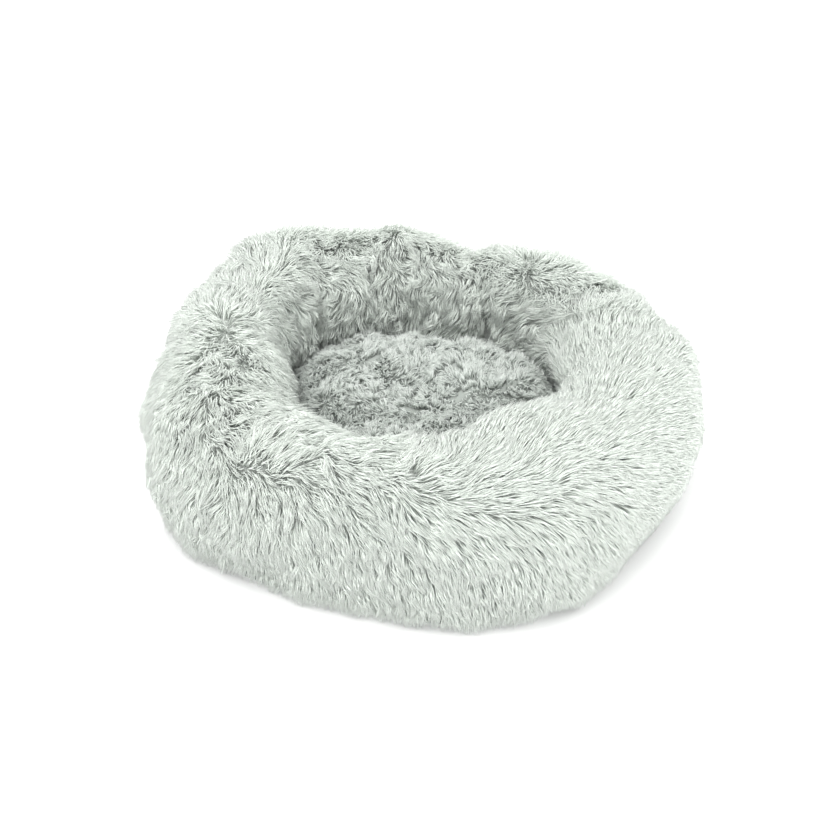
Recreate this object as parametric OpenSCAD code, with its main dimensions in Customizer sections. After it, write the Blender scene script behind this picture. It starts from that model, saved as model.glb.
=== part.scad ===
// Ring-shaped pet cushion bed: a stuffed plush rim, a loose plush cushion in
// its well, and a zipped non-slip underside. Millimetres, +Z up. The origin is
// under the middle of the bed, on the surface that it rests on.

/* [Outer outline, seen from above] */
// Mean radius of the rim's outside
outer_r = 296; // [280:1:320]
// Shift of the outside: amount and direction
outer_shift = [8, 137]; // [-180:1:180]
// Oval swell of the outside: amount and phase
outer_oval = [16, -35]; // [-180:1:180]
// Three-cornered swell: amount and phase
outer_three = [5, 68]; // [-180:1:180]
// Four-cornered swell: amount and phase
outer_four = [10, 114]; // [-180:1:180]
// Five-cornered swell: amount and phase
outer_five = [5, -40]; // [-180:1:180]

/* [Neck of the well, seen from above] */
// Mean radius of the neck
neck_r = 145; // [135:1:155]
// Shift of the neck: amount and direction
neck_shift = [18, 129]; // [-180:1:180]
// Oval swell of the neck: amount and phase
neck_oval = [3, 100]; // [-180:1:180]
// Three-cornered swell of the neck: amount and phase
neck_three = [14, 54]; // [-180:1:180]

/* [Rim] */
// Mean height of the crest
crest_z = 186; // [170:1:210]
// Sideways lean of the crest's height: amount and direction
crest_tilt = [3, -162]; // [-180:1:180]
// Two high and two low places of the crest: amount and phase
crest_wave = [8, -127]; // [-180:1:180]
// Thickness of the plush: backing and lying pile
plush_t = 14; // [8:1:18]
// Thickness of the filling's inner sack
liner_t = 1; // [0.8:0.1:2]
// Gap between one layer and the next
layer_gap = 0.4; // [0.3:0.1:1]

/* [Loose cushion] */
// Gap between the cushion and the neck
cushion_gap = 1.5; // [1:0.5:6]
// Height of the cushion
cushion_h = 102; // [80:1:110]
// Thickness of the plush on its top panel
cushion_plush_t = 10; // [6:1:14]
// Thickness of its plain under panel
cushion_under_t = 2; // [1:0.5:4]

/* [Underside] */
// Height of the anti-slip dots
dot_h = 1.4; // [1.2:0.1:2]
// Radius of one dot
dot_r = 4; // [2:0.5:5]
// Spacing of the dots along a row
dot_pitch = 30; // [24:1:40]
// Thickness of the base fabric
base_t = 1; // [0.8:0.1:1.5]
// Thickness of the wadding above it
wadding_t = 12; // [10:1:14]
// Thickness of the well's floor fabric
floor_t = 1; // [0.8:0.1:1.2]
// Width of the binding around the base
binding_w = 3; // [2:0.5:3.5]
// Care label: length and width
label_size = [44, 26]; // [20:1:60]

/* [Zip] */
// Length of the slot in the base
zip_slot_l = 312; // [200:2:320]
// Width of the slot in the base
zip_slot_w = 12.6; // [12.6:0.2:16]
// Travel of the slider
zip_travel = 236; // [100:2:240]
// Spacing of the teeth in one row
tooth_pitch = 4; // [3:0.5:6]
// Width of one tape
tape_w = 14; // [10:1:18]
// Length of the slider
slider_l = 13; // [10:0.5:16]
// Width of the slider
slider_w = 11; // [9:0.5:11.6]
// Length of the pull, from its pin
pull_l = 24; // [14:1:26]

/* [Hidden] */

around_step = 10;
tube_step = 15;
slices = 360 / around_step;
tube_steps = 360 / tube_step;
// Panel seams, in slices counted from +X towards +Y
seam_right_back = 5;
seam_back_left = 13;
seam_left_front = 20;
seam_front_right = 30;
// The plush starts under the outside of the tube and ends low inside the well
cover_first = -4;
cover_last = 15;

sage = "#c6cdc4";
cushion_sage = "#aeb6ad";
lining = "#e9e9e4";
fibre = "#fbfbf8";
base_grey = "#8f9590";
zip_grey = "#777d79";
metal = "#b9bcbd";

base_z = dot_h;
wadding_z = base_z + base_t;
floor_z = wadding_z + wadding_t + 0.1;
cushion_z = floor_z + floor_t + layer_gap;
// The hem lifts the zip above the base fabric, so the pull lies inside the slot
hem_h = 1.8;
hem_w = 9;
tape_t = 0.6;
tape_z = wadding_z + hem_h;
tooth_z = tape_z + tape_t / 2;
row_in = 0.6;
row_out = 3.4;
bead_w = 0.8;
tooth_half_h = 0.8;
bead_half_h = 1;
chain_half_l = zip_travel / 2 + slider_l / 2 + 0.5;
slider_x = -zip_travel / 2;
plate_t = 1;
plate_in = 1.2;
plate_low = tooth_z - plate_in - plate_t;
pin_z = plate_low - 0.95;
pin_r = 0.5;
lug_r = 1.05;

// ---- outline, neck and crest around the bed

function swell(n, w, a) = w[0] * cos(n * a - w[1]);
function outer_at(a) = outer_r + swell(1, outer_shift, a) + swell(2, outer_oval, a)
    + swell(3, outer_three, a) + swell(4, outer_four, a) + swell(5, outer_five, a);
function neck_at(a) = neck_r + swell(1, neck_shift, a) + swell(2, neck_oval, a)
    + swell(3, neck_three, a);
function crest_at(a) = crest_z + swell(1, crest_tilt, a) + swell(2, crest_wave, a);
function mid_at(a) = (outer_at(a) + neck_at(a)) / 2;
function half_w_at(a) = (outer_at(a) - neck_at(a)) / 2;

angles = [for (i = [0:slices - 1]) i * around_step];
outline_x = [for (a = angles) outer_at(a) * cos(a)];
outline_y = [for (a = angles) outer_at(a) * sin(a)];
bed_x = -(min(outline_x) + max(outline_x)) / 2;
bed_y = -(min(outline_y) + max(outline_y)) / 2;

function place(r, a, z) = [bed_x + r * cos(a), bed_y + r * sin(a), z];
// A power below 1 makes an ellipse fuller
function puff(v, p) = sign(v) * pow(abs(v), p);

// ---- the stuffed tube of the rim

// A point at angle f round the tube, inset mm inside the plush's outer face
function tube_point(a, f, inset, low) =
    let (h = crest_at(a) / 2)
    let (r = mid_at(a) + (half_w_at(a) - inset) * puff(cos(f), 0.85))
    let (z = 0.94 * h + (1.06 * h - inset) * puff(sin(f), 0.9))
    place(r, a, max(z, low));
// A flat ring that follows the tube at angle f, moved outwards by grow mm
function flat_ring(f, grow) = [
    for (a = angles)
        let (r = mid_at(a) + half_w_at(a) * puff(cos(f), 0.85) + grow)
        [bed_x + r * cos(a), bed_y + r * sin(a)]
];

// Faces of a grid of n rows by m columns that starts at point k
function grid_faces(n, m, k, wrap_row, wrap_col) = [
    for (i = [0:n - (wrap_row ? 1 : 2)])
        for (j = [0:m - (wrap_col ? 1 : 2)])
            let (p = k + i * m + j, q = k + i * m + (j + 1) % m)
            let (s = k + ((i + 1) % n) * m + j, t = k + ((i + 1) % n) * m + (j + 1) % m)
            each [[p, q, t], [p, t, s]]
];
function flipped(faces) = [for (f = faces) [f[2], f[1], f[0]]];
// Faces that join two rows of points, given as lists of point numbers
function strip_faces(p, q) = [
    for (i = [0:len(p) - 2])
        each [[p[i], p[i + 1], q[i + 1]], [p[i], q[i + 1], q[i]]]
];

// One plush panel: a thick skin over part of the tube, between two seams
module rim_cover(first, last) {
    n = last - first + 1;
    m = cover_last - cover_first + 1;
    outer = [
        for (i = [first:last]) for (j = [cover_first:cover_last])
            tube_point(i * around_step, j * tube_step, 0, wadding_z)
    ];
    inner = [
        for (i = [first:last]) for (j = [cover_first:cover_last])
            tube_point(i * around_step, j * tube_step, plush_t, wadding_z)
    ];
    k = n * m;
    low = [for (i = [0:n - 1]) i * m];
    high = [for (i = [0:n - 1]) i * m + m - 1];
    head = [for (j = [0:m - 1]) j];
    tail = [for (j = [0:m - 1]) (n - 1) * m + j];
    lift = function(v) [for (p = v) p + k];
    polyhedron(
        points = concat(outer, inner),
        faces = concat(
            grid_faces(n, m, 0, false, false),
            flipped(grid_faces(n, m, k, false, false)),
            strip_faces(low, lift(low)),
            flipped(strip_faces(high, lift(high))),
            flipped(strip_faces(head, lift(head))),
            strip_faces(tail, lift(tail))
        )
    );
}

// A whole closed tube, inset mm inside the plush's outer face
module closed_tube(inset, low) {
    points = [
        for (a = angles) for (j = [0:tube_steps - 1])
            tube_point(a, j * tube_step, inset, low)
    ];
    polyhedron(points = points, faces = grid_faces(slices, tube_steps, 0, true, true));
}

module rim_cover_front() color(sage) rim_cover(seam_left_front, seam_front_right);
module rim_cover_right() color(sage) rim_cover(seam_front_right, slices + seam_right_back);
module rim_cover_back() color(sage) rim_cover(seam_right_back, seam_back_left);
module rim_cover_left() color(sage) rim_cover(seam_back_left, seam_left_front);

liner_inset = plush_t + layer_gap;
liner_low = floor_z + 0.2;
module rim_liner() color(lining) difference() {
    closed_tube(liner_inset, liner_low);
    closed_tube(liner_inset + liner_t, liner_low + liner_t);
}
module rim_filling() color(fibre)
    closed_tube(liner_inset + liner_t + layer_gap, liner_low + liner_t + layer_gap);

// ---- the loose cushion

cushion_mid = cushion_z + cushion_h / 2;
// One level ring of the cushion at angle f, inset mm inside its outer face
function cushion_ring(f, inset) = [
    for (a = angles)
        place((neck_at(a) - cushion_gap - inset) * puff(cos(f), 0.62), a,
            cushion_mid + (cushion_h / 2 - inset) * puff(sin(f), 0.86))
];
// A closed solid of level rings from angle f0 to angle f1, inset under_inset
// mm below the middle and top_inset mm from there up
module cushion_solid(under_inset, top_inset, f0, f1) {
    fs = [for (f = [f0:12:f1]) f];
    n = len(fs);
    polyhedron(
        points = [for (f = fs) each cushion_ring(f, f < 0 ? under_inset : top_inset)],
        faces = concat(
            flipped(grid_faces(n, slices, 0, false, true)),
            [[for (i = [0:slices - 1]) i]],
            [[for (i = [slices - 1:-1:0]) (n - 1) * slices + i]]
        )
    );
}

module cushion_top_cover() color(cushion_sage) difference() {
    cushion_solid(0, 0, 0, 84);
    cushion_solid(cushion_plush_t, cushion_plush_t, -12, 84);
}
module cushion_under_cover() color(base_grey) difference() {
    cushion_solid(0, 0, -84, 0);
    cushion_solid(cushion_under_t, cushion_under_t, -84, 12);
}
module cushion_filling() color(fibre)
    cushion_solid(cushion_under_t + layer_gap, cushion_plush_t + layer_gap, -84, 84);

// ---- the base

cover_foot = cover_first * tube_step;
cover_toe = cover_last * tube_step;
wall_inside = 10;

module plate(ring, z, t) translate([0, 0, z]) linear_extrude(t) polygon(ring);
// A box that spans x0..x1, y0..y1 and z0..z1
module box(x0, x1, y0, y1, z0, z1)
    translate([x0, y0, z0]) cube([x1 - x0, y1 - y0, z1 - z0]);

// side is -1 for the front half and 1 for the rear half
module half_space(side)
    box(-outer_r * 2, outer_r * 2, side > 0 ? 0 : -outer_r * 2, side > 0 ? outer_r * 2 : 0, -1, 50);

module base_panel(side) difference() {
    intersection() {
        union() {
            plate(flat_ring(cover_foot, 0), base_z, base_t);
            box(-zip_slot_l / 2, zip_slot_l / 2, -zip_slot_w / 2 - hem_w, zip_slot_w / 2 + hem_w,
                base_z + base_t / 2, tape_z);
        }
        half_space(side);
    }
    box(-zip_slot_l / 2, zip_slot_l / 2, -zip_slot_w / 2, zip_slot_w / 2, 0, tape_z + 1);
}
module base_panel_front() color(base_grey) base_panel(-1);
module base_panel_rear() color(base_grey) base_panel(1);

// The wadding stops short of the plush and leaves a channel over the zip
module base_wadding() color(fibre) difference() {
    plate(flat_ring(cover_foot, -wall_inside), wadding_z, wadding_t);
    box(-zip_slot_l / 2 - 4, zip_slot_l / 2 + 4, -zip_slot_w / 2 - hem_w - 4,
        zip_slot_w / 2 + hem_w + 4, 0, floor_z + 1);
}
module floor_panel() color(lining)
    plate(flat_ring(cover_toe, -layer_gap), floor_z, floor_t);

module base_binding() color(base_grey) difference() {
    plate(flat_ring(cover_foot, binding_w), base_z, base_t);
    plate(flat_ring(cover_foot, 0), base_z - 1, base_t + 2);
}

// Where the blank care label lies, under the rear panel
label_x = 80;
label_y = 62;
label_t = 0.5;
module care_label() color("white")
    box(label_x, label_x + label_size[0], label_y, label_y + label_size[1], base_z - label_t, base_z);

edge_at = function(a) mid_at(a) + half_w_at(a) * puff(cos(cover_foot), 0.85);
dot_row_gap = dot_pitch * sqrt(3) / 2;
dot_margin = 10;
function dot_fits(x, y) =
    norm([x - bed_x, y - bed_y]) < edge_at(atan2(y - bed_y, x - bed_x)) - dot_margin
    && !(x > label_x - dot_r - 2 && x < label_x + label_size[0] + dot_r + 2
        && y > label_y - dot_r - 2 && y < label_y + label_size[1] + dot_r + 2);
dot_rows = floor(outer_r / dot_row_gap);
dot_columns = floor(outer_r / dot_pitch);
// The two rows nearest the zip are left out on each side
module anti_slip_dots(side)
    for (row = [1:dot_rows])
        for (column = [-dot_columns:dot_columns]) {
            x = (column + (row % 2) / 2) * dot_pitch;
            y = side * row * dot_row_gap;
            if (dot_fits(x, y)) translate([x, y, 0]) cylinder(h = dot_h, r = dot_r, $fn = 32);
        }
module anti_slip_dots_front() color("white") anti_slip_dots(-1);
module anti_slip_dots_rear() color("white") anti_slip_dots(1);

// ---- the zip

module zip_tape(side) {
    y0 = side > 0 ? row_out : -row_out - tape_w;
    box(-zip_slot_l / 2, zip_slot_l / 2, y0, y0 + tape_w, tape_z, tape_z + tape_t);
}
module zip_tape_front() color(zip_grey) zip_tape(-1);
module zip_tape_rear() color(zip_grey) zip_tape(1);

// A row of teeth on its bead; the rows are half a pitch apart, and leave a
// narrow way between their tips for the slider's divider
teeth_count = floor(2 * chain_half_l / tooth_pitch) - 1;
module zip_teeth(side) {
    bead_y = side > 0 ? row_out - bead_w : -row_out;
    box(-chain_half_l, chain_half_l, bead_y, bead_y + bead_w,
        tooth_z - bead_half_h, tooth_z + bead_half_h);
    start = -chain_half_l + tooth_pitch * (side > 0 ? 0.25 : 0.75);
    tooth_y = side > 0 ? row_in : -row_out + bead_w / 2;
    for (i = [0:teeth_count])
        box(start + i * tooth_pitch, start + i * tooth_pitch + tooth_pitch * 0.45,
            tooth_y, tooth_y + row_out - row_in - bead_w / 2,
            tooth_z - tooth_half_h, tooth_z + tooth_half_h);
}
module zip_teeth_front() color(zip_grey) zip_teeth(-1);
module zip_teeth_rear() color(zip_grey) zip_teeth(1);

stop_l = 3;
module zip_stop(x0) box(x0, x0 + stop_l, -row_out, row_out, tooth_z - 1.2, tooth_z + 1.2);
module zip_stop_closed_end() color(metal) zip_stop(-chain_half_l - stop_l);
module zip_stop_open_end() color(metal) zip_stop(chain_half_l);

// Two plates round the chain, joined by a thin divider between the rows, with
// side flanges and a lug for the pull under the lower plate
divider_t = 0.6;
flange_t = 1.2;
flange_h = 0.6;
module zip_slider() color(metal) difference() {
    union() {
        for (z = [plate_low, tooth_z + plate_in]) {
            box(slider_x - slider_l / 2, slider_x + slider_l / 2 - 2, -slider_w / 2, slider_w / 2,
                z, z + plate_t);
            box(slider_x, slider_x + slider_l / 2, -slider_w / 2 + 1.5, slider_w / 2 - 1.5,
                z, z + plate_t);
        }
        box(slider_x - slider_l / 2, slider_x + slider_l / 2, -divider_t / 2, divider_t / 2,
            plate_low + plate_t / 2, tooth_z + plate_in + plate_t / 2);
        for (y = [-slider_w / 2, slider_w / 2 - flange_t]) {
            box(slider_x - slider_l / 2, slider_x + slider_l / 2 - 2, y, y + flange_t,
                plate_low + plate_t / 2, plate_low + plate_t + flange_h);
            box(slider_x - slider_l / 2, slider_x + slider_l / 2 - 2, y, y + flange_t,
                tooth_z + plate_in - flange_h, tooth_z + plate_in + plate_t / 2);
        }
        translate([slider_x, 1.1, pin_z]) rotate([90, 0, 0]) cylinder(h = 2.2, r = lug_r, $fn = 48);
        box(slider_x - lug_r, slider_x + lug_r, -1.1, 1.1, pin_z, plate_low + plate_t / 2);
    }
    translate([slider_x, 2, pin_z]) rotate([90, 0, 0]) cylinder(h = 4, r = pin_r + 0.05, $fn = 48);
}

cheek_in = 1.4;
cheek_out = 2.4;
cheek_r = 0.8;
pull_w = 7;
pull_t = 1;
module zip_pull() color(metal) difference() {
    union() {
        translate([slider_x, cheek_out, pin_z]) rotate([90, 0, 0])
            cylinder(h = 2 * cheek_out, r = pin_r, $fn = 48);
        for (y = [-cheek_out, cheek_in]) {
            translate([slider_x, y + 1, pin_z]) rotate([90, 0, 0])
                cylinder(h = 1, r = cheek_r, $fn = 48);
            box(slider_x, slider_x + 4, y, y + 1, pin_z - pull_t / 2, pin_z + pull_t / 2);
        }
        box(slider_x + 2.2, slider_x + pull_l - pull_w / 2, -pull_w / 2, pull_w / 2,
            pin_z - pull_t / 2, pin_z + pull_t / 2);
        translate([slider_x + pull_l - pull_w / 2, 0, pin_z - pull_t / 2])
            cylinder(h = pull_t, r = pull_w / 2, $fn = 64);
    }
    translate([slider_x + pull_l - pull_w / 2, 0, pin_z - 1]) cylinder(h = 2, r = 1.6, $fn = 48);
}

rim_cover_front();
rim_cover_right();
rim_cover_back();
rim_cover_left();
rim_liner();
rim_filling();
floor_panel();
base_wadding();
base_panel_front();
base_panel_rear();
anti_slip_dots_front();
anti_slip_dots_rear();
base_binding();
care_label();
zip_tape_front();
zip_tape_rear();
zip_teeth_front();
zip_teeth_rear();
zip_stop_closed_end();
zip_stop_open_end();
zip_slider();
zip_pull();
cushion_top_cover();
cushion_under_cover();
cushion_filling();
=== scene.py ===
"""Looks of the ring-shaped pet cushion bed: plush rim, loose cushion, zipped underside and stage."""
import math

import bmesh
import bpy
import numpy as np
from bpy.props import FloatProperty, FloatVectorProperty, IntProperty, PointerProperty
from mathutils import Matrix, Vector, kdtree
from mathutils.bvhtree import BVHTree


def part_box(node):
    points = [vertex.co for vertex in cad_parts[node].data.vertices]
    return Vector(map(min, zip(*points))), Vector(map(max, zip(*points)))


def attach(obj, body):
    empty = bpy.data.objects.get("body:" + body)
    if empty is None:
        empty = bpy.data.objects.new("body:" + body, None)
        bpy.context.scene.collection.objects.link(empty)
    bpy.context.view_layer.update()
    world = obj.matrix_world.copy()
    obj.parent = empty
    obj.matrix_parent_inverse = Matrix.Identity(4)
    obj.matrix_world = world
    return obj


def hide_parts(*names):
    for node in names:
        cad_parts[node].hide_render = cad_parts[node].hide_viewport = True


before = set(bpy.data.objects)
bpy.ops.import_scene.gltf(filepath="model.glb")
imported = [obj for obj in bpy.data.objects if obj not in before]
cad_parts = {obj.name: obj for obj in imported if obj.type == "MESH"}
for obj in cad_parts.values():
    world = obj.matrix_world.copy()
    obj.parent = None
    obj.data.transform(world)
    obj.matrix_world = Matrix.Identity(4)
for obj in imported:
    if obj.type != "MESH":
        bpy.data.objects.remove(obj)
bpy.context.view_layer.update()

bl_info = {
    "name": "Plush pet bed",
    "version": (1, 0, 0),
    "blender": (4, 5, 0),
    "location": "3D View > Sidebar > Pet bed",
    "description": "Builds the plush, cushion, underside and stage of a ring-shaped pet bed",
    "category": "Object",
}

MM = 0.001
TAU = 2 * math.pi


# ---------------------------------------------------------------- sizes and colours

class BedShape(bpy.types.PropertyGroup):
    """The rim's outline, neck and crest, as in the CAD model."""

    outer: FloatProperty(name="Outer radius", description="Mean radius of the rim's outside",
                         default=0.296, unit="LENGTH")
    neck: FloatProperty(name="Neck radius", description="Mean radius of the well's neck",
                        default=0.145, unit="LENGTH")
    crest: FloatProperty(name="Crest height", description="Mean height of the rim's crest",
                         default=0.186, unit="LENGTH")
    skin_inset: FloatProperty(name="Backing inset", description="Depth of the backing under the pile's face",
                              default=0.0115, unit="LENGTH")
    cushion_inset: FloatProperty(name="Cushion backing inset",
                                 description="Depth of the cushion's backing under its pile's face",
                                 default=0.0065, unit="LENGTH")
    cushion_gap: FloatProperty(name="Cushion gap", description="Gap between the cushion and the neck",
                               default=0.0015, unit="LENGTH")


class PlushLook(bpy.types.PropertyGroup):
    """The pile of the rim and of the cushion."""

    rim_locks: IntProperty(name="Rim locks", description="Number of locks of pile on the rim",
                           default=140000, min=1000)
    cushion_locks: IntProperty(name="Cushion locks", description="Number of locks of pile on the cushion",
                               default=35000, min=500)
    rim_length: FloatProperty(name="Rim pile length", description="Length of a lock on the rim",
                              default=0.029, unit="LENGTH")
    cushion_length: FloatProperty(name="Cushion pile length", description="Length of a lock on the cushion",
                                  default=0.0165, unit="LENGTH")
    lock_radius: FloatProperty(name="Lock radius", description="Half the width of a lock at its fullest",
                               default=0.0006, unit="LENGTH")
    tip: FloatVectorProperty(name="Tip colour", description="Colour of the rim pile's tips",
                             default=(0.88, 0.93, 0.875), subtype="COLOR", min=0, max=1)
    # The root colour is darker than the tip colour to paint shade down between the locks, on top of the
    # shade that the locks cast themselves
    root: FloatVectorProperty(name="Root colour", description="Colour of the rim pile at the backing",
                              default=(0.58, 0.63, 0.575), subtype="COLOR", min=0, max=1)
    cushion_tip: FloatVectorProperty(name="Cushion tip colour",
                                     description="Colour of the cushion pile's tips",
                                     default=(0.86, 0.91, 0.86), subtype="COLOR", min=0, max=1)
    # The cushion's root colour is darker still: painted shade for the deep gaps of its pile
    cushion_root: FloatVectorProperty(name="Cushion root colour",
                                      description="Colour of the cushion pile at the backing",
                                      default=(0.21, 0.24, 0.215), subtype="COLOR", min=0, max=1)


class StageLook(bpy.types.PropertyGroup):
    """The floor, the lights and the camera."""

    elevation: FloatProperty(name="Camera elevation", description="Angle that the camera looks down at",
                             default=math.radians(35), subtype="ANGLE")
    distance: FloatProperty(name="Camera distance", description="From the camera to the point it looks at",
                            default=2.05, unit="LENGTH")
    aim: FloatVectorProperty(name="Camera aim", description="The point that the camera looks at",
                             default=(-0.0149, 0.0, 0.0838), subtype="TRANSLATION")
    near_floor: FloatProperty(name="Near the floor",
                              description="Height that light reaches up to through the floor",
                              default=0.008, unit="LENGTH")
    view_angle: FloatProperty(name="View angle", description="The camera's angle of view",
                              default=math.radians(25), subtype="ANGLE")


class PetBed(bpy.types.PropertyGroup):
    """All settings of the bed."""

    shape: PointerProperty(type=BedShape)
    plush: PointerProperty(type=PlushLook)
    stage: PointerProperty(type=StageLook)


def settings():
    return bpy.context.scene.pet_bed


# ---------------------------------------------------------------- the rim's surface

def swell(count, size, phase, a):
    return size * MM * np.cos(count * a - math.radians(phase))


def outer_at(a):
    waves = ((1, 8, 137), (2, 16, -35), (3, 5, 68), (4, 10, 114), (5, 5, -40))
    return settings().shape.outer + sum(swell(n, size, phase, a) for n, size, phase in waves)


def neck_at(a):
    waves = ((1, 18, 129), (2, 3, 100), (3, 14, 54))
    return settings().shape.neck + sum(swell(n, size, phase, a) for n, size, phase in waves)


def crest_at(a):
    waves = ((1, 3, -162), (2, 8, -127))
    return settings().shape.crest + sum(swell(n, size, phase, a) for n, size, phase in waves)


def centre():
    """Where the outline's polar centre lies, so that the outline's box is centred on the origin."""
    a = np.radians(np.arange(0, 360, 10))
    x = outer_at(a) * np.cos(a)
    y = outer_at(a) * np.sin(a)
    return -(x.min() + x.max()) / 2, -(y.min() + y.max()) / 2


def puff(v, power):
    return np.sign(v) * np.abs(v) ** power


def rim_point(a, f, inset):
    """Points of the tube at angle a round the bed and f round the tube, inset below the pile's face."""
    h = crest_at(a) / 2
    middle = (outer_at(a) + neck_at(a)) / 2
    half = (outer_at(a) - neck_at(a)) / 2
    r = middle + (half - inset) * puff(np.cos(f), 0.85)
    z = 0.94 * h + (1.06 * h - inset) * puff(np.sin(f), 0.9)
    cx, cy = centre()
    return np.stack([cx + r * np.cos(a), cy + r * np.sin(a), z], -1)


def unit(v):
    return v / np.maximum(np.linalg.norm(v, axis=-1, keepdims=True), 1e-12)


def rim_axes(a, f, inset):
    """Unit vectors at a point of the tube: round the bed, down the outside, and out of the surface."""
    step = 1e-3
    along = unit(rim_point(a + step, f, inset) - rim_point(a - step, f, inset))
    down = unit(rim_point(a, f - step, inset) - rim_point(a, f + step, inset))
    out = unit(np.cross(down, along))
    return along, down, out


def noise(points, scale, seed, waves=18):
    """Smooth noise, about -1 to 1, that changes over a length of scale."""
    rng = np.random.default_rng(seed)
    k = unit(rng.normal(size=(waves, 3))) * (TAU / scale) * rng.uniform(0.6, 1.5, (waves, 1))
    return np.sin(points @ k.T + rng.uniform(0, TAU, waves)).sum(-1) / math.sqrt(waves / 2)


def curve_round(knots, a):
    """A smooth periodic curve of angle a through (degrees, value) knots."""
    at = np.array([k[0] for k in knots], float)
    value = np.array([k[1] for k in knots], float)
    deg = np.degrees(a) % 360
    at = np.concatenate([at - 360, at, at + 360])
    value = np.concatenate([value, value, value])
    i = np.clip(np.searchsorted(at, deg) - 1, 0, len(at) - 2)
    t = (deg - at[i]) / (at[i + 1] - at[i])
    t = t * t * (3 - 2 * t)
    return value[i] * (1 - t) + value[i + 1] * t


def near_line(a, f, a0, a1, f0, f1, width):
    """1 on a line across the tube from (a0, f0) to (a1, f1) in degrees, fading over width in metres."""
    t = np.clip((np.degrees(f) - f0) / (f1 - f0), 0, 1)
    line = a0 + (a1 - a0) * t
    off = (np.degrees(a) - line + 180) % 360 - 180
    beyond = np.maximum(0, np.maximum(min(f0, f1) - np.degrees(f), np.degrees(f) - max(f0, f1)))
    r = (outer_at(a) + neck_at(a)) / 2
    distance = np.hypot(np.radians(off) * r, np.radians(beyond) * 0.08)
    return np.exp(-(distance / width) ** 2)


SEAMS = (50, 130, 200, 300)
PANELS = {"left": (130, 200), "front": (200, 300), "right": (300, 410), "back": (50, 130)}
# Folds of the plush: from (a, f) to (a, f) in degrees, depth and half-width in metres
FOLDS = (
    (128, 132, 120, 190, 0.006, 0.013),
    (66, 62, 130, 195, 0.008, 0.012),
    (201, 206, 95, 165, 0.012, 0.013),
)


# How far the crest sags round the bed, in metres
SAG = ((0, 0.003), (45, 0.005), (65, 0.005), (85, 0.009), (105, 0.005), (130, 0.002), (150, 0.006),
       (175, 0.004), (210, 0), (300, 0), (340, 0.003))


def fold_depth(a, f):
    depth = np.zeros(np.broadcast(a, f).shape)
    for a0, a1, f0, f1, deep, width in FOLDS:
        depth = depth + deep * near_line(a, f, a0, a1, f0, f1, width)
    return depth


# ---------------------------------------------------------------- mesh helpers

def new_object(name, mesh):
    obj = bpy.data.objects.new(name, mesh)
    bpy.context.scene.collection.objects.link(obj)
    return obj


def only(obj):
    """Makes obj the one selected and active object."""
    bpy.ops.object.select_all(action="DESELECT")
    obj.select_set(True)
    bpy.context.view_layer.objects.active = obj


def get_points(mesh):
    co = np.empty(len(mesh.vertices) * 3)
    mesh.vertices.foreach_get("co", co)
    return co.reshape(-1, 3)


def set_points(mesh, co):
    mesh.vertices.foreach_set("co", np.asarray(co, float).ravel())
    mesh.update()


def mesh_of(name, points, loops, starts):
    """A mesh from point places, loop point numbers and the first loop of each face."""
    mesh = bpy.data.meshes.new(name)
    mesh.vertices.add(len(points))
    mesh.vertices.foreach_set("co", np.asarray(points, float).ravel())
    mesh.loops.add(len(loops))
    mesh.loops.foreach_set("vertex_index", np.asarray(loops, np.int32))
    mesh.polygons.add(len(starts))
    mesh.polygons.foreach_set("loop_start", np.asarray(starts, np.int32))
    mesh.update(calc_edges=True)
    return mesh


def grid_mesh(name, points, wrap, low_pole=None, high_pole=None):
    """Quads over a grid of points (rows, columns, 3); wrap joins the last row to the first.

    A pole is a point that closes the first or last column of a wrapped grid."""
    rows, columns = points.shape[:2]
    i = np.arange(rows if wrap else rows - 1)
    first = i * columns
    ahead = ((i + 1) % rows) * columns
    j = np.arange(columns - 1)
    p = first[:, None] + j
    q = ahead[:, None] + j
    quads = np.stack([p, q, q + 1, p + 1], -1).reshape(-1, 4)
    loops = [quads.ravel()]
    sizes = [np.full(len(quads), 4)]
    flat = [points.reshape(-1, 3)]
    number = rows * columns
    for pole, column in ((low_pole, 0), (high_pole, columns - 1)):
        if pole is None:
            continue
        tip = np.full(len(i), number)
        corners = (tip, ahead, first) if column == 0 else (first + column, ahead + column, tip)
        loops.append(np.stack(corners, -1).ravel())
        sizes.append(np.full(len(i), 3))
        flat.append(np.asarray(pole, float).reshape(1, 3))
        number += 1
    sizes = np.concatenate(sizes)
    starts = np.concatenate([[0], np.cumsum(sizes)[:-1]])
    return mesh_of(name, np.concatenate(flat), np.concatenate(loops), starts)


def wall(obj, thickness):
    """Gives a sheet a thickness on the side away from its normals."""
    only(obj)
    solid = obj.modifiers.new("Wall", "SOLIDIFY")
    solid.thickness = thickness
    solid.offset = -1
    bpy.ops.object.modifier_apply(modifier="Wall")


def spans(obj):
    """How far a mesh reaches along X and Y."""
    points = get_points(obj.data)
    return tuple(float(d) for d in (points.max(0) - points.min(0))[:2])


def join(objects):
    bpy.ops.object.select_all(action="DESELECT")
    for obj in objects:
        obj.select_set(True)
    bpy.context.view_layer.objects.active = objects[0]
    bpy.ops.object.join()
    return objects[0]


def model_of(obj):
    """Takes a modelled object's points and faces, and removes the object."""
    only(obj)
    bpy.ops.object.transform_apply(location=True, rotation=True, scale=True)
    points = get_points(obj.data)
    faces = [list(face.vertices) for face in obj.data.polygons]
    bpy.data.objects.remove(obj)
    return points, faces


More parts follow.
